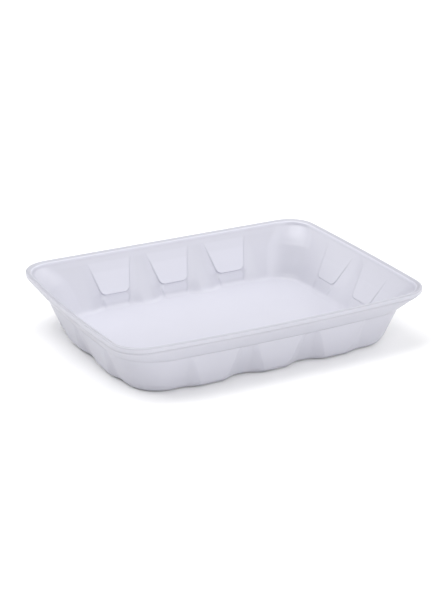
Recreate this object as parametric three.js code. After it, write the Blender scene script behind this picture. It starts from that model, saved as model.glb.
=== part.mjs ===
// A fluted foam food tray: one thermoformed sheet with a rounded lip, a sloping
// flange, bays and pillars round its wall and a flat floor. Millimetres, +Z up,
// origin on the ground under the middle of the tray, long side along X.
import * as THREE from 'three';

// overall size
const rimHalfLength = 119.15;
const rimHalfWidth = 92;
const rimHeight = 41.3;
const cornerLift = 1.1;        // the rim's corners stand this much higher than its sides
const rimBowX = 3.2;           // how far the short sides bow outward at their middle
const rimBowY = 2.9;           // the same for the long sides
const rimCornerRadius = 21;
const rimCornerPower = 2.3;    // exponent of the rim's slightly squarish corner curve

// the lip, as inset from the rim's outline and drop below its top
const lipEdgeHeight = 3.8;
const lipRounding = 0.9;
const ridgeInset = 3.2;
const ridgeDrop = 1.5;
const creaseInset = 4;
const creaseDrop = 3.3;

// outer step, where the flange turns into the wall
const stepInset = 8.85;
const stepDrop = 15.5;
const stepCornerRadius = 31;
const stepBowShare = 0.75;     // share of the rim's bow that is left at the step

// outer wall at the ground, before the bottom edge is rounded
const baseHalfLength = 101.7;
const baseHalfWidth = 76.3;
const baseCornerRadius = 27.5;
const baseEdgeRadius = 6.5;
const recessDepth = 5.3;       // the outer recess behind a pillar, at the ground
const recessStart = 0.95;      // and just below the step, as a narrow shelf

// inner wall, as [inset, drop] points; the flutes start at fluteTopDrop
const floorThickness = 3.5;
const floorEdgeRadius = 4.5;
const fluteTopDrop = 5.9;
const bayFootInset = 20;       // where the bay's wall would meet the floor
const pillarFootInset = 24.8;
const bayTop = [9.2, 13.5];
const bayLow = [16.5, 28.1];
const padTop = [9.6, 13];      // the flat pad that stands in each bay
const padLow = [17.9, 27.7];
const padCornerRadius = 3;
const padStepHeight = 0.5;     // the small step at the pad's lower edge
const stripProud = 0.8;        // the strip below it stands this far out of the bay
const cornerBendDepth = 1.5;   // the corners' inside bends this far inward of a straight line
const cornerBendDrop = 10;
const innerCornerTurn = 6;     // the inside's corner radius is this much smaller
const shortSideRelief = 0.45;  // share of the bays' and pads' depth on the short sides

// flutes: bays with pillars between them, at one pitch on every side
const pitch = 47.6;
const baysOnLongSide = 3;
const baysOnShortSide = 2;
const middlePillarShare = 0.5; // the short side's middle pillar is shallower
const cornerShare = 0.72;      // so are the corners and the pillars beside them
const innerFlute = {
  padTop: 14.6, padBottom: 7.9, groove: 1.6, crestTop: 2.5, crestBottom: 4.5,
};
const outerFlute = { toeTop: 17.2, toeBottom: 8.8, crestTop: 4, crestBottom: 5.6 };
const flankKnots = [2, 2.25, 2.5, 2.75, 3];

// grid
const cornerSteps = 8;
const extensionSteps = 2;
const edgeSteps = 3;

const floorDrop = rimHeight - floorThickness;

function mix(a, b, t) {
  return a + (b - a) * t;
}

function clamp01(t) {
  return Math.min(1, Math.max(0, t));
}

// smooth rise from 0 to 1
function smooth(t) {
  const s = clamp01(t);
  return s * s * (3 - 2 * s);
}

// inset at a drop on the straight lines through [inset, drop] points, the first and
// the last of which run on
function bentLine(points, drop) {
  let k = 1;
  while (k + 1 < points.length && drop > points[k][1]) k += 1;
  const [inset0, drop0] = points[k - 1];
  const [inset1, drop1] = points[k];
  return mix(inset0, inset1, (drop - drop0) / (drop1 - drop0));
}

// share of the way down the wall: 0 at the outer step and above, 1 at the ground
function wallShare(drop) {
  return clamp01((drop - stepDrop) / (rimHeight - stepDrop));
}

// the stations round the tray, counter-clockwise from above: each is a place on
// a side (half period, place in it), a stretch beside a corner, or a corner turn
function sideStations(side) {
  const bays = side.alongX ? baysOnLongSide : baysOnShortSide;
  const list = [];
  for (let k = extensionSteps; k > 0; k--) {
    list.push({ side, extension: -k / extensionSteps, knot: 4, bay: bays - 1 });
  }
  for (let bay = 0; bay < bays; bay++) {
    const first = bay === 0 ? [-4] : [];
    const left = flankKnots.map((knot) => -knot).reverse();
    for (const knot of [...first, ...left, -1, 0, 1, ...flankKnots, 4]) {
      list.push({ side, bay, knot });
    }
  }
  for (let k = 1; k <= extensionSteps; k++) {
    list.push({ side, extension: k / extensionSteps, knot: 4, bay: 0 });
  }
  return list;
}

function cornerStations(signX, signY) {
  const list = [];
  for (let k = 1; k < cornerSteps; k++) {
    const turn = (k / cornerSteps) * (Math.PI / 2);
    const angle = signX * signY > 0 ? turn : Math.PI / 2 - turn;
    list.push({ corner: { signX, signY, angle } });
  }
  return list;
}

const stations = [
  ...sideStations({ alongX: false, sign: 1 }),
  ...cornerStations(1, 1),
  ...sideStations({ alongX: true, sign: 1 }),
  ...cornerStations(-1, 1),
  ...sideStations({ alongX: false, sign: -1 }),
  ...cornerStations(-1, -1),
  ...sideStations({ alongX: true, sign: -1 }),
  ...cornerStations(1, -1),
];

// how far the rounded lower corner draws the pad's edge in; below the pad this fades
function padRounding(drop) {
  const share = clamp01((drop - padLow[1] + padCornerRadius) / padCornerRadius);
  return padCornerRadius * (1 - Math.sqrt(1 - share ** 2)) * (1 - smooth((drop - padLow[1]) / 4));
}

// distance of a knot from its bay's middle, at a drop below the rim; the knots
// are 0 the middle, 1 the pad's edge, 2 the pillar's toe, 3 its crest's edge and
// 4 its middle
function knotPlace(knot, drop, inside) {
  const half = pitch / 2;
  let place;
  if (inside) {
    const t = (drop - bayTop[1]) / (floorDrop - bayTop[1]);
    const pad = mix(innerFlute.padTop, innerFlute.padBottom, Math.max(-0.31, t));
    const edge = pad - padRounding(drop);
    const groove = innerFlute.groove * (1 + smooth((drop - padLow[1] + 2) / 5));
    const crest = half - mix(innerFlute.crestTop, innerFlute.crestBottom, clamp01(t));
    place = [0, edge, edge + groove, crest, half];
  } else {
    const t = wallShare(drop);
    const toe = mix(outerFlute.toeTop, outerFlute.toeBottom, t);
    const crest = half - mix(outerFlute.crestTop, outerFlute.crestBottom, t);
    place = [0, toe * 0.8, toe, crest, half];
  }
  const size = Math.abs(knot);
  const low = Math.min(3, Math.floor(size));
  return Math.sign(knot) * mix(place[low], place[low + 1], size - low);
}

// how much of its own pillar stands at a knot: 0 in the bay, 1 on the crest
function pillarRise(station) {
  if (station.corner) return 1;
  return smooth((Math.abs(station.knot) - 1.75) / 1.5);
}

// size of the pillar at a station, as a share of the long side's middle pillars
function pillarSize(station) {
  if (station.corner || station.extension) return cornerShare;
  const { alongX } = station.side;
  const bays = alongX ? baysOnLongSide : baysOnShortSide;
  const next = station.bay + Math.sign(station.knot);
  if (next < 0 || next >= bays) return cornerShare;
  return alongX ? 1 : middlePillarShare;
}

function padShare(station) {
  if (station.corner || station.extension) return 0;
  return Math.abs(station.knot) <= 1 ? 1 : 0;
}

// plan of one level: a rounded rectangle inset from the rim's outline, whose
// sides bow; it gives each station's point, its outward normal and how near a
// corner it is
function planPoint(station, drop, inset, inside) {
  const t = wallShare(drop);
  const flange = clamp01(drop / stepDrop);
  const bow = mix(1, stepBowShare, flange) * (1 - t);
  const bowX = rimBowX * bow;
  const bowY = rimBowY * bow;
  const extraX = t * (rimHalfLength - baseHalfLength - rimHalfWidth + baseHalfWidth);
  const halfX = rimHalfLength - inset - extraX - bowX;
  const halfY = rimHalfWidth - inset - bowY;
  const outerRadius = t > 0 ? mix(stepCornerRadius, baseCornerRadius, t)
    : mix(rimCornerRadius, stepCornerRadius, clamp01((drop - lipEdgeHeight) / (stepDrop - lipEdgeHeight)));
  const radius = outerRadius - (inside ? innerCornerTurn * flange : 0);
  const power = mix(rimCornerPower, 2, t);
  let x;
  let y;
  let normal;
  if (station.corner) {
    const { signX, signY, angle } = station.corner;
    const c = Math.cos(angle);
    const s = Math.sin(angle);
    x = signX * (halfX - radius + radius * c ** (2 / power));
    y = signY * (halfY - radius + radius * s ** (2 / power));
    normal = new THREE.Vector2(signX * c ** (2 - 2 / power), signY * s ** (2 - 2 / power)).normalize();
  } else {
    const { alongX, sign } = station.side;
    const bays = alongX ? baysOnLongSide : baysOnShortSide;
    const fluted = (bays * pitch) / 2;
    const end = Math.max((alongX ? halfX : halfY) - radius, fluted + 0.3);
    let place;
    if (station.extension) {
      place = Math.sign(station.extension) * mix(fluted, end, Math.abs(station.extension));
    } else {
      place = (station.bay - (bays - 1) / 2) * pitch + knotPlace(station.knot, drop, inside);
    }
    x = alongX ? -sign * place : sign * halfX;
    y = alongX ? sign * halfY : sign * place;
    normal = alongX ? new THREE.Vector2(0, sign) : new THREE.Vector2(sign, 0);
  }
  const corner = (x / halfX) ** 2 * (y / halfY) ** 2;
  const bowedX = x + bowX * (x / halfX) * (1 - (y / halfY) ** 2);
  const bowedY = y + bowY * (y / halfY) * (1 - (x / halfX) ** 2);
  return { x: bowedX, y: bowedY, normal, corner };
}

// a point of the sheet: the level's plan, moved inward by the flute, at a height
// that the corner's lift raises less and less towards the ground
function sheetPoint(station, drop, inset, flute, inside) {
  const plan = planPoint(station, drop, inset, inside);
  const height = rimHeight - drop;
  const lift = cornerLift * plan.corner * (1 - wallShare(drop));
  return new THREE.Vector3(
    plan.x - plan.normal.x * flute,
    plan.y - plan.normal.y * flute,
    height + lift,
  );
}

// inset of the wall and depth of the flute at a drop, outside and inside
function outerWall(station, drop) {
  const t = wallShare(drop);
  const inset = mix(stepInset, rimHalfWidth - baseHalfWidth, t);
  const recess = mix(recessStart, recessDepth, t);
  return { inset, flute: recess * pillarRise(station) * pillarSize(station) };
}

// extra depth of a corner's inside: largest in the middle of the turn and at the bend
function cornerBend(station, drop) {
  if (!station.corner) return 0;
  const above = (drop - creaseDrop) / (cornerBendDrop - creaseDrop);
  const below = (floorDrop - drop) / (floorDrop - cornerBendDrop);
  return cornerBendDepth * Math.sin(2 * station.corner.angle) ** 2 * Math.min(above, below);
}

// pillars and corners run straight from the lip's crease to the floor, the bays
// between them lie deeper, less so on the short sides, and the pads stand in the bays
function innerWall(station, drop) {
  const crease = [creaseInset, creaseDrop];
  const foot = mix(bayFootInset, pillarFootInset, pillarSize(station));
  const plane = bentLine([crease, [foot, floorDrop]], drop);
  if (drop < fluteTopDrop) return { inset: plane, flute: 0 };
  const top = [bentLine([crease, [pillarFootInset, floorDrop]], fluteTopDrop), fluteTopDrop];
  const relief = !station.corner && !station.side.alongX ? shortSideRelief : 1;
  const straight = bentLine([top, [pillarFootInset, floorDrop]], drop);
  const fullBay = bentLine([top, bayTop, bayLow, [bayFootInset, floorDrop]], drop);
  const pad = drop > padLow[1] ? fullBay + stripProud : bentLine([top, padTop, padLow], drop);
  const bay = mix(straight, fullBay, relief);
  const rise = pillarRise(station) * (plane - bay) + cornerBend(station, drop);
  const flute = padShare(station) * relief * (pad - fullBay) + rise;
  return { inset: bay, flute };
}

// the rounded edge between a wall and a flat level: an arc tangent to both,
// from step 0 on the flat to the last step on the wall
function edgePoint(station, wall, flatDrop, radius, step, inside) {
  const probe = 1;
  const foot = wall(station, flatDrop);
  const above = wall(station, flatDrop - probe);
  const run = foot.inset + foot.flute - above.inset - above.flute;
  const slope = Math.atan2(probe, run);
  const reach = radius * Math.tan(slope / 2);
  const angle = (step / edgeSteps) * slope;
  const shift = reach - radius * Math.sin(angle);
  const rise = radius * (1 - Math.cos(angle));
  const drop = flatDrop - rise;
  return sheetPoint(station, drop, foot.inset, foot.flute + shift, inside);
}

// every row of the sheet's surface, from the ground contact up the outside,
// over the lip and down the inside to the floor
function sheetRows() {
  const rows = [];
  const row = (pointAt) => rows.push(stations.map(pointAt));
  for (let step = 0; step <= edgeSteps; step++) {
    row((s) => edgePoint(s, outerWall, rimHeight, baseEdgeRadius, step, false));
  }
  row((s) => {
    const wall = outerWall(s, stepDrop + 0.2);
    return sheetPoint(s, stepDrop + 0.2, wall.inset, wall.flute, false);
  });
  row((s) => sheetPoint(s, stepDrop, stepInset, 0, false));
  row((s) => sheetPoint(s, lipEdgeHeight, 0, 0, false));
  row((s) => sheetPoint(s, lipRounding, 0, 0, false));
  row((s) => sheetPoint(s, 0, lipRounding, 0, true));
  row((s) => sheetPoint(s, ridgeDrop, ridgeInset, 0, true));
  row((s) => sheetPoint(s, creaseDrop, creaseInset, 0, true));
  const cornerDrop = padLow[1] - padCornerRadius;
  const upperDrops = [fluteTopDrop, cornerBendDrop, bayTop[1], cornerDrop];
  const lowerDrops = [cornerDrop + 0.7 * padCornerRadius, padLow[1], padLow[1] + padStepHeight];
  for (const drop of [...upperDrops, ...lowerDrops]) {
    row((s) => {
      const wall = innerWall(s, drop);
      return sheetPoint(s, drop, wall.inset, wall.flute, true);
    });
  }
  for (let step = edgeSteps; step >= 0; step--) {
    row((s) => edgePoint(s, innerWall, floorDrop, floorEdgeRadius, step, true));
  }
  return rows;
}

// joins the rows into one closed skin, with a fan on the underside and the floor
function sheetGeometry() {
  const rows = sheetRows();
  const count = stations.length;
  const position = rows.flat().flatMap((p) => [p.x, p.y, p.z]);
  const index = [];
  for (let j = 0; j + 1 < rows.length; j++) {
    for (let i = 0; i < count; i++) {
      const next = (i + 1) % count;
      const a = j * count + i;
      const b = j * count + next;
      const c = (j + 1) * count + next;
      const d = (j + 1) * count + i;
      index.push(a, b, c, a, c, d);
    }
  }
  const under = position.length / 3;
  position.push(0, 0, 0);
  const floor = under + 1;
  position.push(0, 0, floorThickness);
  const last = (rows.length - 1) * count;
  for (let i = 0; i < count; i++) {
    const next = (i + 1) % count;
    index.push(under, next, i);
    index.push(floor, last + i, last + next);
  }
  const geometry = new THREE.BufferGeometry();
  geometry.setAttribute('position', new THREE.Float32BufferAttribute(position, 3));
  geometry.setIndex(index);
  geometry.computeVertexNormals();
  return geometry;
}

const foam = new THREE.MeshStandardMaterial({ color: 0xeeeef6, roughness: 0.7, metalness: 0 });
const tray = new THREE.Mesh(sheetGeometry(), foam);
tray.name = 'foam_tray';

const group = new THREE.Group();
group.add(tray);

export default group;
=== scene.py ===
import math
import bpy
import numpy as np
from mathutils import Matrix, Vector


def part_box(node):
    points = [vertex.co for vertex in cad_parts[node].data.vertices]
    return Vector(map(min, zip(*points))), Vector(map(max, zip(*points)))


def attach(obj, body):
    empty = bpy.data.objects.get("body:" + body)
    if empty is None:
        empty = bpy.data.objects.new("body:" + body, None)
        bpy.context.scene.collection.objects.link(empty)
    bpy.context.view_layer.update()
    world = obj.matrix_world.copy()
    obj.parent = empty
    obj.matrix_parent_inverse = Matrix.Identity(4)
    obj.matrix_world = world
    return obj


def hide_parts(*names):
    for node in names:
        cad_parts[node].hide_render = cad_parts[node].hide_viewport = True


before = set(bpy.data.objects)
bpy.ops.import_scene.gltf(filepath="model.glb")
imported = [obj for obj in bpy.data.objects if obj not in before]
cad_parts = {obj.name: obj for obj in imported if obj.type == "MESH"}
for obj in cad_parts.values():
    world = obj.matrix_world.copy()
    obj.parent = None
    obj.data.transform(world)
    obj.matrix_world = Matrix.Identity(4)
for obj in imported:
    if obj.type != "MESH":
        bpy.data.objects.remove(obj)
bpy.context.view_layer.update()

print("frame loaded:", list(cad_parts))

mm = 0.001
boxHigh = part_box("foam_tray")[1]                  # upper corner of the solid's box, in metres
cornerLift = 1.1                                  # the sheet rises this much towards its corners,
liftReached = 0.88                                # of which the rounded corners reach this
rimHeight = boxHigh[2] / mm - liftReached         # height of the middle of a side

# sizes of the sheet in millimetres: an inset counts inward from the rim's outline,
# a drop counts down from the rim's top; the pairs from crease to padLow are points of
# the section as (inset, drop), and baseHalf is the base's half length and half width
sheet = {
    "halfX": boxHigh[0] / mm, "halfY": boxHigh[1] / mm, "height": rimHeight,
    "bowX": 3.2, "bowY": 2.9, "bowAtStep": 0.75,
    "rimRadius": 21.0, "rimPower": 2.3, "stepRadius": 31.0, "baseRadius": 27.5, "innerTurn": 6.0,
    "lipDrop": 3.8, "crease": (4.0, 3.3), "step": (8.85, 15.5), "fluteTop": 5.9,
    "bayTop": (9.2, 13.5), "bayLow": (16.5, 28.1), "padTop": (9.6, 13.0), "padLow": (17.9, 27.7),
    "bayRound": 0.8, "padRound": 0.5, "padStep": 0.75, "padCorner": 3.0, "stripProud": 0.8,
    "bayFoot": 20.0, "pillarFoot": 24.8, "floorThickness": 3.5, "floorRound": 4.5,
    "baseHalf": (101.7, 76.3), "baseRound": 6.5, "leastStretch": 0.3, "shortRelief": 0.45,
}
sheet["floorDrop"] = sheet["height"] - sheet["floorThickness"]
recess = {"atStep": 0.95, "atBase": 5.3}          # how deep the outer wall's hollows are
cornerBend = {"proud": 1.5, "drop": 10.0, "round": 2.5}
# the underside and the floor lose the flutes within this share, towards an even outline
# that lies this much further in than the deepest hollow or pillar
calm = {"under": 2.0, "floor": 3.0, "share": 0.2}

# flutes: bays and pillars at one pitch; a pair is the half width at the wall's top and foot
flute = {
    "pitch": 47.6, "baysLong": 3, "baysShort": 2, "middleShare": 0.5, "cornerShare": 0.72,
    "pad": (14.6, 7.9), "padWiden": 0.31, "cornerFade": 4.0, "groove": 1.6, "grooveSpread": (2.0, 5.0),
    "leastRise": 0.8, "crest": (2.5, 4.5), "outToe": (17.2, 8.8), "outPad": 0.8, "outCrest": (4.0, 5.6),
    "edge": 0.45, "outEdge": 0.5, "paintedShadingEdge": 0.3, "foot": 0.25,
}
# painted light and shade: share by which the foam's colour is made lighter or darker where light or shade
# falls; painted light on the pads and the strips below them, on the bead's ridge (a painted highlight) and
# on the crease; painted shade on the long sides' pillars, the lip's outer rounding and the two fine grooves;
# the short sides' pads and the pads' upper part get a share of the pads' own
paintedLightShade = {
    "pads": 0.07, "shortPads": -0.1, "upperPads": 0.6, "pillars": -0.035, "lip": -0.15, "bead": 0.12,
    "crease": 0.03, "nick": -0.15, "topBlend": 1.5, "bendBlend": 0.5, "fade": 4.0,
}
# rows and stations of the skin, and how the rows crowd (t^ease)
grid = {
    "pad": 7, "groove": 5, "rise": 6, "crest": 3, "extension": 6, "corner": 26,
    "foot": 7, "outerWall": 22, "stepRow": 0.2, "upperWall": 34, "padCorner": 10, "cornerEase": 0.6,
    "lowerWall": 16, "lowerEase": 1.6, "innerFoot": 9,
    "under": (0.04, 0.3, 0.55, 0.75, 0.9, 0.97),
    "floor": (0.985, 0.96, 0.92, 0.86, 0.78, 0.68, 0.56, 0.42, 0.26, 0.1),
}


def mix(a, b, t):
    # a at t = 0, b at t = 1
    return a + (b - a) * t


def smooth(t):
    # 3t^2 - 2t^3 between 0 and 1
    t = np.clip(t, 0, 1)
    return t * t * (3 - 2 * t)


def ramp(t, r):
    # 0 below, t above, joined by a parabola (t + r)^2 / 4r over -r..r
    return np.where(t < -r, 0, np.where(t > r, t, (t + r) ** 2 / (4 * r)))


def halfKnots():
    # knots 0..4 of half a period: 0-1 pad, 1-2 groove, 2-3 rise, 3-4 crest;
    # points crowd at both ends of each stretch: (1 - cos(pi t)) / 2
    parts = []
    for k, name in enumerate(("pad", "groove", "rise", "crest")):
        t = np.arange(grid[name]) / grid[name]
        parts.append(k + (1 - np.cos(np.pi * t)) / 2)
    return np.append(np.concatenate(parts), 4.0)


def makeStations():
    # one row per station: side (0 along x, 1 along y, 2 corner), its sign, number of its
    # bay, knot -4..4, stretch -1..1 beyond the flutes, corner signs and angle
    half = halfKnots()
    period = np.concatenate([-half[:0:-1], half[:-1]])
    rows = []
    for side, sign, corner in ((1, 1, (1, 1)), (0, 1, (-1, 1)), (1, -1, (-1, -1)), (0, -1, (1, -1))):
        bays = flute["baysLong"] if side == 0 else flute["baysShort"]
        stretch = np.arange(grid["extension"], 0, -1) / grid["extension"]
        block = [np.array([[side, sign, bays - 1, 4, -e, 0, 0, 0] for e in stretch])]
        for bay in range(bays):
            knots = period if bay < bays - 1 else np.append(period, 4.0)
            n = len(knots)
            block.append(np.column_stack([np.full(n, side), np.full(n, sign), np.full(n, bay), knots]
                                         + [np.zeros(n)] * 4))
        block.append(np.array([[side, sign, 0, 4, e, 0, 0, 0] for e in stretch[::-1]]))
        turn = np.arange(1, grid["corner"]) / grid["corner"] * np.pi / 2
        sx, sy = corner
        angle = turn if sx * sy > 0 else np.pi / 2 - turn
        n = len(turn)
        signs = [np.full(n, sx), np.full(n, sy)]
        block.append(np.column_stack([np.full(n, 2), np.zeros((n, 4)), *signs, angle]))
        rows += block
    return np.concatenate(rows).astype(float)


stations = makeStations()
side, sign, bay, knot, stretch, cornerX, cornerY, turn = stations.T
isCorner = side == 2
bays = np.where(side == 0, flute["baysLong"], flute["baysShort"])
knotSize = np.abs(knot)
nextBay = bay + np.sign(knot)
atEnd = isCorner | (stretch != 0) | (nextBay < 0) | (nextBay >= bays)
pillarTop = np.where(atEnd, flute["cornerShare"], np.where(side == 0, 1, flute["middleShare"]))


def fluteShares(edge, foot):
    # pad: 1 on the pad, falling past its edge; pillar: smooth rise from toe to crest,
    # times the pillar's own share
    pad = np.where(isCorner | (stretch != 0), 0, 1 - smooth((knotSize - 1) / edge))
    rise = smooth((knotSize - 2 + foot) / (1 + 2 * foot))
    return pad, np.where(isCorner, 1, rise) * pillarTop


def knotPlace(drop, inside):
    # distance from the bay's middle: piecewise linear in the knot, between widths that
    # change linearly with the drop; a pad's lower corners are quarter circles of radius r
    half = flute["pitch"] / 2
    if inside:
        top, low = sheet["bayTop"][1], sheet["floorDrop"]
        t = np.clip((drop - top) / (low - top), -flute["padWiden"], 1)
        pad = mix(*flute["pad"], t)
        r, edge = sheet["padCorner"], sheet["padLow"][1]
        start, length = flute["grooveSpread"]
        toe = pad + flute["groove"] * (1 + smooth((drop - edge + start) / length))
        lower = np.clip((drop - edge + r) / r, 0, 1)
        rounding = r * (1 - np.sqrt(1 - lower ** 2)) * (1 - smooth((drop - edge) / flute["cornerFade"]))
        pad = pad - rounding
        crest = half - mix(*flute["crest"], np.clip(t, 0, 1))
        toe = np.minimum(toe, crest - flute["leastRise"])
    else:
        t = np.clip((drop - sheet["step"][1]) / (sheet["height"] - sheet["step"][1]), 0, 1)
        toe = mix(*flute["outToe"], t)
        pad = toe * flute["outPad"]
        crest = half - mix(*flute["outCrest"], t)
    zero = np.zeros_like(drop)
    knots = [zero, pad, toe, crest, zero + half]
    low = np.minimum(3, np.floor(knotSize)).astype(int)
    a = np.choose(low, knots[:4])
    b = np.choose(low, knots[1:])
    return np.sign(knot) * mix(a, b, knotSize - low)


def sheetPoints(drop, inset, depth, inside):
    # rounded rectangle inset from the rim, with sides bowed by b (1 - s^2), corner
    # curve cos^(2/n), sin^(2/n), moved inward by the flute's depth; arrays rows x stations
    t = np.clip((drop - sheet["step"][1]) / (sheet["height"] - sheet["step"][1]), 0, 1)
    flange = np.clip(drop / sheet["step"][1], 0, 1)
    bow = mix(1, sheet["bowAtStep"], flange) * (1 - t)
    bowX, bowY = sheet["bowX"] * bow, sheet["bowY"] * bow
    extra = (sheet["halfX"] - sheet["baseHalf"][0]) - (sheet["halfY"] - sheet["baseHalf"][1])
    halfX = sheet["halfX"] - inset - extra * t - bowX
    halfY = sheet["halfY"] - inset - bowY
    below = np.clip((drop - sheet["lipDrop"]) / (sheet["step"][1] - sheet["lipDrop"]), 0, 1)
    radius = np.where(t > 0, mix(sheet["stepRadius"], sheet["baseRadius"], t),
                      mix(sheet["rimRadius"], sheet["stepRadius"], below))
    if inside:
        radius = radius - sheet["innerTurn"] * flange
    power = mix(sheet["rimPower"], 2, t)
    c, s = np.cos(turn), np.sin(turn)
    cx = cornerX * (halfX - radius + radius * np.abs(c) ** (2 / power))
    cy = cornerY * (halfY - radius + radius * np.abs(s) ** (2 / power))
    nx, ny = cornerX * np.abs(c) ** (2 - 2 / power), cornerY * np.abs(s) ** (2 - 2 / power)
    size = np.hypot(nx, ny) + 1e-9
    fluted = bays * flute["pitch"] / 2
    end = np.maximum(np.where(side == 0, halfX, halfY) - radius, fluted + sheet["leastStretch"])
    place = (bay - (bays - 1) / 2) * flute["pitch"] + knotPlace(drop, inside)
    place = np.where(stretch != 0, np.sign(stretch) * mix(fluted, end, np.abs(stretch)), place)
    x = np.where(isCorner, cx, np.where(side == 0, -sign * place, sign * halfX))
    y = np.where(isCorner, cy, np.where(side == 0, sign * halfY, sign * place))
    nx = np.where(isCorner, nx / size, np.where(side == 0, 0, sign))
    ny = np.where(isCorner, ny / size, np.where(side == 0, sign, 0))
    nearCorner = (x / halfX) ** 2 * (y / halfY) ** 2
    bx = x + bowX * (x / halfX) * (1 - (y / halfY) ** 2)
    by = y + bowY * (y / halfY) * (1 - (x / halfX) ** 2)
    z = sheet["height"] - drop + cornerLift * nearCorner * (1 - t)
    return np.stack([bx - nx * depth, by - ny * depth, z], axis=-1)


def grown(column):
    # a column of drops or insets as rows x stations
    return np.repeat(np.asarray(column, float)[:, None], len(stations), axis=1)


def outerWall(drop):
    # the inset grows on a line from the step to the base, and so does the hollows' depth
    t = np.clip((drop - sheet["step"][1]) / (sheet["height"] - sheet["step"][1]), 0, 1)
    inset = mix(sheet["step"][0], sheet["halfY"] - sheet["baseHalf"][1], t)
    pillar = fluteShares(flute["outEdge"], flute["foot"])[1]
    return inset, mix(recess["atStep"], recess["atBase"], t) * pillar


def bentLine(drop, points, r):
    # a line through (inset, drop) points, each bend rounded by ramp over -r..r
    (i0, d0), (i1, d1) = points[:2]
    slope = (i1 - i0) / (d1 - d0)
    inset = i0 + slope * (drop - d0)
    for (i0, d0), (i1, d1) in zip(points[1:], points[2:]):
        bend = (i1 - i0) / (d1 - d0) - slope
        inset = inset + bend * ramp(drop - d0, r)
        slope += bend
    return inset


def innerWall(drop):
    # pillars run straight from the lip's crease to the floor, and corners bend inward by
    # proud sin^2(2 turn); bays lie deeper from the flutes' top down, and pads stand proud
    # in them down to a small step
    crease, floorDrop = sheet["crease"], sheet["floorDrop"]
    pad, pillar = fluteShares(flute["edge"], flute["foot"])
    foot = mix(sheet["bayFoot"], sheet["pillarFoot"], pillarTop)
    plane = crease[0] + (foot - crease[0]) * (drop - crease[1]) / (floorDrop - crease[1])
    slope = (sheet["pillarFoot"] - crease[0]) / (floorDrop - crease[1])
    top = (crease[0] + slope * (sheet["fluteTop"] - crease[1]), sheet["fluteTop"])
    bayPoints = [top, sheet["bayTop"], sheet["bayLow"], (sheet["bayFoot"], floorDrop)]
    bayLine = bentLine(drop, bayPoints, sheet["bayRound"])
    padLine = bentLine(drop, [top, sheet["padTop"], sheet["padLow"]], sheet["padRound"])
    below = smooth((drop - sheet["padLow"][1]) / sheet["padStep"])
    padProud = mix(padLine - bayLine, sheet["stripProud"], below)
    straight = crease[0] + slope * (drop - crease[1])
    relief = np.where(drop < sheet["fluteTop"], 0, np.where(side == 1, sheet["shortRelief"], 1))
    bayLine, padProud = mix(straight, bayLine, relief), padProud * relief
    bendPoints = [(0, crease[1]), (1, cornerBend["drop"]), (0, floorDrop)]
    tent = bentLine(drop, bendPoints, cornerBend["round"])
    plane = plane + cornerBend["proud"] * np.sin(2 * turn) ** 2 * tent
    return bayLine, pad * padProud + pillar / pillarTop * (plane - bayLine)


def roundedFoot(wall, flatDrop, radius, steps, inside):
    # arc tangent to the flat level and to the wall: angle a from 0 to the wall's slope,
    # inset + r tan(slope/2) - r sin(a), height r (1 - cos(a))
    flat = grown([flatDrop])
    footInset, footDepth = wall(flat)
    upInset, upDepth = wall(flat - 1)
    slope = np.arctan2(1, footInset + footDepth - upInset - upDepth)
    angle = np.linspace(0, 1, steps)[:, None] * slope
    shift = radius * np.tan(slope / 2) - radius * np.sin(angle)
    drop = flatDrop - radius * (1 - np.cos(angle))
    return sheetPoints(drop, footInset + 0 * drop, footDepth + shift, inside), drop[-1]


def profileRows(points, inside):
    # rows through (inset, drop) points of the lip, flush all round
    inset, drop = np.array(points, float).T
    return sheetPoints(grown(drop), grown(inset), grown(0 * drop), inside)


def wallPaintedShading(drop):
    # painted light on the pads and the strips below them, less on the pads' upper part, and painted shade on
    # the long sides' pillars; the short sides' pads get a little painted shade instead; none above the
    # flutes
    pad, pillar = fluteShares(flute["paintedShadingEdge"], flute["foot"])
    upper = mix(paintedLightShade["upperPads"], 1, smooth(drop - sheet["padTop"][1] + paintedLightShade["bendBlend"]))
    within = smooth((drop - sheet["fluteTop"]) / paintedLightShade["topBlend"])
    pads = np.where(side == 0, pad, pad * paintedLightShade["shortPads"]) * upper
    return within * (paintedLightShade["pads"] * pads + paintedLightShade["pillars"] * pillar * (side == 0))


def arcPoints(centre, radius, start, stop, count):
    # circle arc in the (inset, drop) plane, angles in degrees
    a = np.radians(np.linspace(start, stop, count))
    return [(centre[0] + radius * math.cos(k), centre[1] + radius * math.sin(k)) for k in a]


def wallRows(wall, topDrop, footDrop, count, inside, ease):
    # rows spread between topDrop and each station's own foot: t^ease
    t = (np.linspace(0, 1, count) ** ease)[:, None]
    drop = topDrop + (footDrop[None, :] - topDrop) * t
    inset, depth = wall(drop)
    paintedShading = wallPaintedShading(drop) if inside else 0 * drop
    return sheetPoints(drop, inset, depth, inside), paintedShading


def evenOutline(drop, inset, depth, inside):
    # the same depth at every station, so no flutes
    return sheetPoints(grown([drop]), grown([inset]), grown([depth]), inside)[0]


def floorRows(edge, even, height, shares):
    # the edge's outline eases into an even one without flutes, then shrinks to the middle:
    # point = mix(edge, even, smooth((1 - share) / 0.2)) * share
    share = np.array(shares)[:, None, None]
    rows = mix(edge[None], even[None], smooth((1 - share) / calm["share"])) * share
    rows[..., 2] = height
    return rows


def outsideRows():
    # underside from its middle outward, its rounded foot, the outer wall up to the step
    foot, footDrop = roundedFoot(outerWall, sheet["height"], sheet["baseRound"], grid["foot"], False)
    inset = sheet["halfY"] - sheet["baseHalf"][1]
    even = evenOutline(sheet["height"], inset, recess["atBase"] + calm["under"], False)
    top = sheet["step"][1] + grid["stepRow"]
    wall = wallRows(outerWall, top, footDrop, grid["outerWall"], False, 1.0)[0]
    return [(floorRows(foot[0], even, 0, grid["under"]), 0), (foot, 0), (wall[::-1][1:], 0)]


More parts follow.
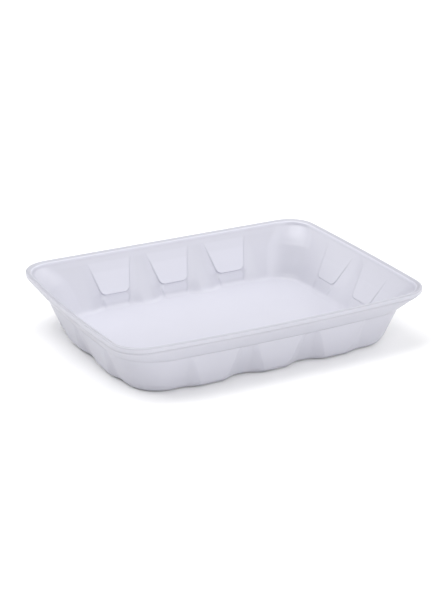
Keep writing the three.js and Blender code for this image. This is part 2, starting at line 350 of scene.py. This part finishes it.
# the lip: its rounding, the bead's ridge, and the fine grooves under the lip and at the
# flange's foot; shares count along the flange, and from one of the bead's points to the next
lip = {
    "round": 0.9, "arc": (180, 262, 9), "ridge": (3.2, 1.5), "topShares": (0.3, 0.65),
    "crown": (0.03, 0.12), "crownShare": 0.15, "beadShares": (0.15, 0.3), "creaseShares": (0.7, 0.9),
    "nick": 0.15, "nickHalf": 0.5, "flange": 14.0, "flangeShares": (0.1, 0.91, 8),
    "lipNick": 1.15, "lipNickDrop": 0.4, "under": (0.15, 0.1), "faceRow": 2.4, "arcRow": 0.4,
}


def flangeRows():
    # groove at the step, the flange as a line to the lip's foot, groove below the lip, and the lip's upright
    # face; both grooves carry painted shade
    step, edge = np.array(sheet["step"]), np.array([0, sheet["lipDrop"]])
    nick = [(step[0] + lip["nick"], step[1]), mix(step, edge, lip["nickHalf"] / lip["flange"])]
    flange = [mix(step, edge, t) for t in np.linspace(*lip["flangeShares"])]
    lipNick = [(lip["lipNick"], edge[1] + lip["lipNickDrop"])]
    face = [(lip["under"][0], edge[1] - lip["under"][1]), (0, edge[1] - lip["nickHalf"])]
    face += [(0, lip["faceRow"]), (0, lip["round"] + lip["arcRow"])]
    parts = ((nick, paintedLightShade["nick"]), (flange, 0), (lipNick, paintedLightShade["nick"]), (face, 0))
    return [(profileRows(points, False), paintedShading) for points, paintedShading in parts]


def lipRows():
    # arc over the lip, a line up to the bead's ridge, the bead, and a line to the crease; painted shade on
    # the arc and the line up to the ridge, a painted highlight on the bead, and faint painted light on the
    # line to the crease
    r, ridge, crease = lip["round"], np.array(lip["ridge"]), np.array(sheet["crease"])
    start = np.array([r, 0])
    bead = [mix(ridge, start, lip["crownShare"]), ridge - lip["crown"]]
    bead += [mix(ridge, crease, t) for t in lip["beadShares"]]
    parts = (
        (arcPoints((r, r), r, *lip["arc"]), paintedLightShade["lip"]),
        ([mix(start, ridge, t) for t in lip["topShares"]], paintedLightShade["lip"]),
        (bead, paintedLightShade["bead"]),
        ([mix(ridge, crease, t) for t in lip["creaseShares"]], paintedLightShade["crease"]),
    )
    return [(profileRows(points, True), paintedShading) for points, paintedShading in parts]


def insideRows():
    # inner wall to the pads' rounded corners, to their lower edge and to the rounded foot, with the painted
    # light and shade fading out there, then the floor as far as its middle
    foot, footDrop = roundedFoot(innerWall, sheet["floorDrop"], sheet["floorRound"], grid["innerFoot"], True)
    edge = np.full(len(stations), sheet["padLow"][1])
    corner = edge - sheet["padCorner"]
    upper = wallRows(innerWall, sheet["crease"][1], corner, grid["upperWall"], True, 1.0)
    middle, middlePaintedShading = wallRows(innerWall, corner[0], edge, grid["padCorner"], True, grid["cornerEase"])
    lower, lowerPaintedShading = wallRows(innerWall, edge[0], footDrop, grid["lowerWall"], True, grid["lowerEase"])
    share = np.linspace(0, 1, grid["lowerWall"])[1:-1, None] ** grid["lowerEase"]
    lowerPaintedShading = lowerPaintedShading[1:-1] * smooth(paintedLightShade["fade"] * (1 - share))
    depth = sheet["pillarFoot"] - sheet["bayFoot"] + calm["floor"]
    even = evenOutline(sheet["floorDrop"], sheet["bayFoot"], depth, True)
    floor = floorRows(foot[0], even, sheet["floorThickness"], grid["floor"])
    return [upper, (middle[1:], middlePaintedShading[1:]), (lower[1:-1], lowerPaintedShading), (foot[::-1], 0), (floor, 0)]


def trayRows():
    # one closed skin from the underside's middle to the floor's, with the painted light and shade at each
    # point
    parts = outsideRows() + flangeRows() + lipRows() + insideRows()
    rows = [points for points, paintedShading in parts]
    paintedShadings = [np.broadcast_to(paintedShading, points.shape[:2]) for points, paintedShading in parts]
    return np.concatenate(rows), np.concatenate(paintedShadings)


def skinFaces(rows, count):
    # quads between neighbouring rows, closed round the stations; fans at both ends
    j, i = np.meshgrid(np.arange(rows - 1), np.arange(count), indexing="ij")
    nextI = (i + 1) % count
    quads = np.stack([j * count + i, j * count + nextI, (j + 1) * count + nextI, (j + 1) * count + i], -1)
    k = np.arange(count)
    under = np.column_stack([np.full(count, rows * count), (k + 1) % count, k])
    last = (rows - 1) * count
    over = np.column_stack([np.full(count, rows * count + 1), last + k, last + (k + 1) % count])
    return quads.reshape(-1, 4), np.concatenate([under, over])


def buildTray():
    # the rows and the two middle points as one smooth mesh, with its painted light and shade as an attribute
    rows, paintedShadings = trayRows()
    count = rows.shape[1]
    middle = np.array([[0, 0, 0], [0, 0, sheet["floorThickness"]]])
    points = np.concatenate([rows.reshape(-1, 3), middle]) * mm
    quads, fans = skinFaces(rows.shape[0], count)
    mesh = bpy.data.meshes.new("traySkin")
    mesh.from_pydata(points.tolist(), [], quads.tolist() + fans.tolist())
    mesh.polygons.foreach_set("use_smooth", np.ones(len(mesh.polygons), bool))
    paintedShading = mesh.attributes.new("paintedShading", "FLOAT", "POINT")
    paintedShading.data.foreach_set("value", np.append(paintedShadings.ravel(), (0, 0)))
    mesh.update()
    tray = bpy.data.objects.new("traySkin", mesh)
    bpy.context.scene.collection.objects.link(tray)
    print("tray skin:", len(points), "points,", len(quads) * 2 + len(fans), "triangles")
    return tray


# dark and light are the ends of the colour blend: the foam's own white lies midway, and the painted light
# and shade move it towards either end
foam = {
    "dark": (0.412, 0.412, 0.46), "light": (0.619, 0.619, 0.691), "roughness": 0.36, "ior": 1.5,
    "paintedShadingGain": 2.5, "cloudScale": 60, "cloudDetail": 3, "cloudShare": 0.06,
    "cells": 1500, "bump": 0.1, "bumpDepth": 0.0001,
}


def foamColour(nodes, links, place):
    # colour = blend of dark and light by 0.5 + 2.5 painted light and shade + 0.06 cloud; the cloud is the
    # foam's own uneven colour
    paintedShading = nodes.new("ShaderNodeAttribute")
    paintedShading.attribute_name = "paintedShading"
    shadingFac = nodes.new("ShaderNodeMath")
    shadingFac.operation = "MULTIPLY_ADD"
    shadingFac.inputs[1].default_value = foam["paintedShadingGain"]
    shadingFac.inputs[2].default_value = 0.5
    cloud = nodes.new("ShaderNodeTexNoise")
    cloud.inputs["Scale"].default_value = foam["cloudScale"]
    cloud.inputs["Detail"].default_value = foam["cloudDetail"]
    clouded = nodes.new("ShaderNodeMath")
    clouded.operation = "MULTIPLY_ADD"
    clouded.inputs[1].default_value = foam["cloudShare"]
    blend = nodes.new("ShaderNodeValToRGB")
    blend.color_ramp.elements[0].position = foam["cloudShare"] / 2
    blend.color_ramp.elements[0].color = (*foam["dark"], 1)
    blend.color_ramp.elements[1].color = (*foam["light"], 1)
    links.new(paintedShading.outputs["Fac"], shadingFac.inputs[0])
    links.new(place, cloud.inputs["Vector"])
    links.new(cloud.outputs["Fac"], clouded.inputs[0])
    links.new(shadingFac.outputs["Value"], clouded.inputs[2])
    links.new(clouded.outputs["Value"], blend.inputs["Fac"])
    return blend.outputs["Color"]


def foamCells(nodes, links, place):
    # fine closed cells: bump by the distance to the nearest cell's middle
    cells = nodes.new("ShaderNodeTexVoronoi")
    cells.inputs["Scale"].default_value = foam["cells"]
    bump = nodes.new("ShaderNodeBump")
    bump.inputs["Strength"].default_value = foam["bump"]
    bump.inputs["Distance"].default_value = foam["bumpDepth"]
    links.new(place, cells.inputs["Vector"])
    links.new(cells.outputs["Distance"], bump.inputs["Height"])
    return bump.outputs["Normal"]


def foamMaterial():
    # white foam with a faintly glossy skin, its colour carrying the painted light and shade
    mat = bpy.data.materials.new("foam")
    mat.use_nodes = True
    nodes, links = mat.node_tree.nodes, mat.node_tree.links
    shader = nodes["Principled BSDF"]
    shader.inputs["Roughness"].default_value = foam["roughness"]
    shader.inputs["IOR"].default_value = foam["ior"]
    place = nodes.new("ShaderNodeTexCoord").outputs["Object"]
    links.new(foamColour(nodes, links, place), shader.inputs["Base Color"])
    links.new(foamCells(nodes, links, place), shader.inputs["Normal"])
    return mat


tray = buildTray()
tray.data.materials.append(foamMaterial())
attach(tray, "root")
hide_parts("foam_tray")

# camera: place in metres and direction of view, as worked out from the rim
camera = {
    "place": (-0.5112, -0.9523, 0.4505), "azimuth": 28.317, "elevation": 21.499,
    "lens": 99.3, "sensor": 36, "far": 20,
}


def addCamera():
    # axes from the azimuth (clockwise from +Y) and the elevation (downward)
    a, e = math.radians(camera["azimuth"]), math.radians(camera["elevation"])
    forward = Vector((math.sin(a) * math.cos(e), math.cos(a) * math.cos(e), -math.sin(e)))
    right = Vector((math.cos(a), -math.sin(a), 0))
    up = right.cross(forward)
    data = bpy.data.cameras.new("camera")
    data.lens = camera["lens"]
    data.sensor_width = camera["sensor"]
    data.clip_end = camera["far"]
    cam = bpy.data.objects.new("camera", data)
    turned = Matrix((right, up, -forward)).transposed().to_4x4()
    cam.matrix_world = Matrix.Translation(camera["place"]) @ turned
    bpy.context.scene.collection.objects.link(cam)
    bpy.context.scene.camera = cam


paper = {"half": 6.0, "white": 0.9, "roughness": 0.9}


def addFloor():
    # large pale sheet under the tray, a square of four corners
    mesh = bpy.data.meshes.new("floor")
    s = paper["half"]
    mesh.from_pydata([(-s, -s, 0), (s, -s, 0), (s, s, 0), (-s, s, 0)], [], [(0, 1, 2, 3)])
    floor = bpy.data.objects.new("floor", mesh)
    bpy.context.scene.collection.objects.link(floor)
    mat = bpy.data.materials.new("floorPaper")
    mat.use_nodes = True
    shader = mat.node_tree.nodes["Principled BSDF"]
    shader.inputs["Base Color"].default_value = (*[paper["white"]] * 3, 1)
    shader.inputs["Roughness"].default_value = paper["roughness"]
    shader.inputs["Specular IOR Level"].default_value = 0.0
    mesh.materials.append(mat)


# wide lights: azimuth the light travels to, height and width in degrees, and its share
# of the paper's brightness
lights = {
    "backLeft": (135, 62, 60, 0.53), "left": (90, 60, 30, 0.12), "right": (270, 62, 60, 0.2),
    "rightLow": (270, 40, 50, 0.113), "front": (0, 40, 50, 0.141), "frontLeft": (45, 40, 50, 0.024),
    "frontRight": (315, 40, 50, 0.108), "frontLow": (0, 18, 30, 0.078),
    "backLeftLow": (135, 18, 30, 0.07), "backRightLow": (225, 18, 30, 0.017),
}
worldStrength = 0.01


def addLight(name, azimuth, height, width, level):
    # strength E from the paper's brightness = white E sin(height) / pi
    data = bpy.data.lights.new(name, "SUN")
    data.energy = level / paper["white"] * math.pi / math.sin(math.radians(height))
    data.angle = math.radians(width)
    lamp = bpy.data.objects.new(name, data)
    a, h = math.radians(azimuth), math.radians(height)
    aim = Vector((math.sin(a) * math.cos(h), math.cos(a) * math.cos(h), -math.sin(h)))
    lamp.rotation_euler = aim.to_track_quat("-Z", "Y").to_euler()
    bpy.context.scene.collection.objects.link(lamp)


def addLights():
    # an even, very dim white world and every light of the list
    world = bpy.data.worlds.new("studio")
    bpy.context.scene.world = world
    world.use_nodes = True
    back = world.node_tree.nodes["Background"]
    back.inputs["Color"].default_value = (1, 1, 1, 1)
    back.inputs["Strength"].default_value = worldStrength
    for name, values in lights.items():
        addLight(name, *values)


addCamera()
addFloor()
addLights()
bpy.context.scene.view_settings.view_transform = "Standard"
print("camera, floor and lights placed")
